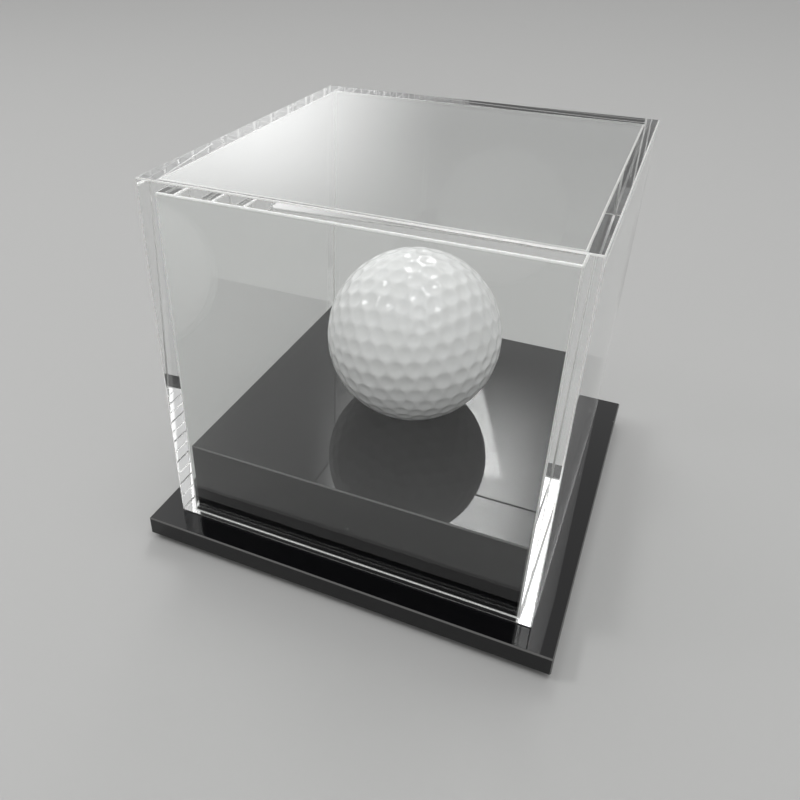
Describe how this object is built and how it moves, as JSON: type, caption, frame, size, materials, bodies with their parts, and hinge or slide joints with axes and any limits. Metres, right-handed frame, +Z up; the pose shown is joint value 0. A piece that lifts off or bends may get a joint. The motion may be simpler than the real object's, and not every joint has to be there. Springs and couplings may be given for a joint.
{
  "type": "golf ball display case",
  "caption": "Clear square cover that drops over a glossy black riser and base plate, with a round seat in the riser holding a dimpled golf ball. The cover lifts straight off.",
  "frame": {"origin": "middle of the underside, on the plane the feet stand on", "axes": "+Z up, -Y towards the front face of the case, +X to the right along the front"},
  "size_m": [0.1, 0.1, 0.092],
  "materials": {
    "acrylic_black": "polished black cast acrylic sheet",
    "acrylic_clear": "clear cast acrylic sheet with polished edges",
    "rubber_foot": "matte moulded rubber",
    "ball_skin": "painted white ionomer with a clear coat",
    "ball_rubber": "moulded rubber"
  },
  "bodies": {
    "stand": {"base_plate": "acrylic_black", "riser_top": "acrylic_black", "riser_front": "acrylic_black", "riser_back": "acrylic_black", "riser_left": "acrylic_black", "riser_right": "acrylic_black", "foot_front_left": "rubber_foot", "foot_front_right": "rubber_foot", "foot_back_left": "rubber_foot", "foot_back_right": "rubber_foot"},
    "cover": {"cover_top": "acrylic_clear", "cover_front": "acrylic_clear", "cover_back": "acrylic_clear", "cover_left": "acrylic_clear", "cover_right": "acrylic_clear"},
    "ball": {"ball_shell": "ball_skin", "ball_core": "ball_rubber"}
  },
  "joints": [
    {"name": "cover_lift", "type": "slide", "parent": "stand", "child": "cover", "axis": [0, 0, 1], "range_m": [0, 0.09]},
    {"name": "ball_lift", "type": "slide", "parent": "stand", "child": "ball", "axis": [0, 0, 1], "range_m": [0, 0.018]}
  ]
}
